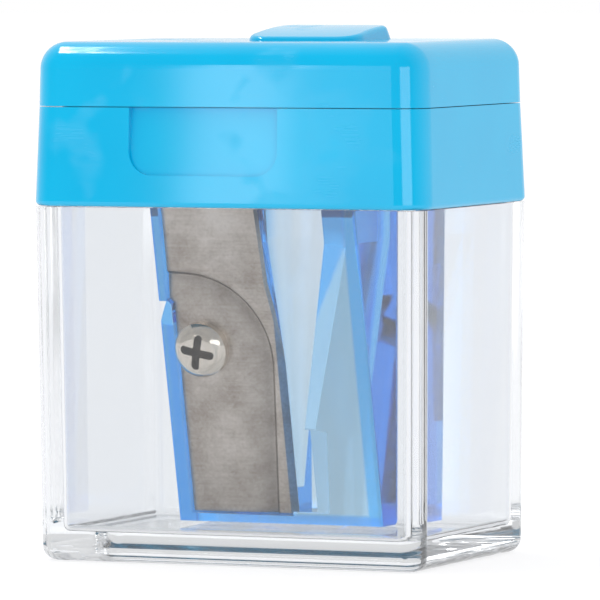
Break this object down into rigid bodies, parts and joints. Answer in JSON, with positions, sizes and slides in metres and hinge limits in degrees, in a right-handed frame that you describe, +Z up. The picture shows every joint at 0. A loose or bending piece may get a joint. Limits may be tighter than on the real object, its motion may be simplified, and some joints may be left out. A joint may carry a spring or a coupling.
{
  "type": "canister pencil sharpener",
  "caption": "Hand-held pencil sharpener: clear shavings canister, blue lift-off lid with a hinged flip cover, and a wedge sharpener block with a screwed-on blade hanging inside.",
  "frame": {"origin": "middle of the canister's flat underside", "axes": "+Z up along the pencil bore, -Y the front with the thumb recess, +X to the right seen from the front"},
  "size_m": [0.0308, 0.0231, 0.0383],
  "materials": {
    "clear_polystyrene": "clear, polished mould",
    "blue_lid_plastic": "gloss",
    "tinted_block_plastic": "translucent gloss",
    "blade_steel": "ground",
    "screw_nickel": "nickel plated",
    "pin_steel": "drawn wire"
  },
  "bodies": {
    "canister": {"canister": "clear_polystyrene"},
    "lid": {"lid_collar": "blue_lid_plastic", "hinge_pin": "pin_steel", "sharpener_block": "tinted_block_plastic", "blade": "blade_steel", "blade_screw": "screw_nickel"},
    "cover": {"flip_cover": "blue_lid_plastic"}
  },
  "joints": [
    {"name": "lid_lift", "type": "slide", "parent": "canister", "child": "lid", "axis": [0, 0, 1], "range_m": [0, 0.03]},
    {"name": "cover_hinge", "type": "hinge", "parent": "lid", "child": "cover", "pos_m": [0, 0.01155, 0.03263], "axis": [-1, 0, 0], "range_deg": [0, 165]}
  ]
}
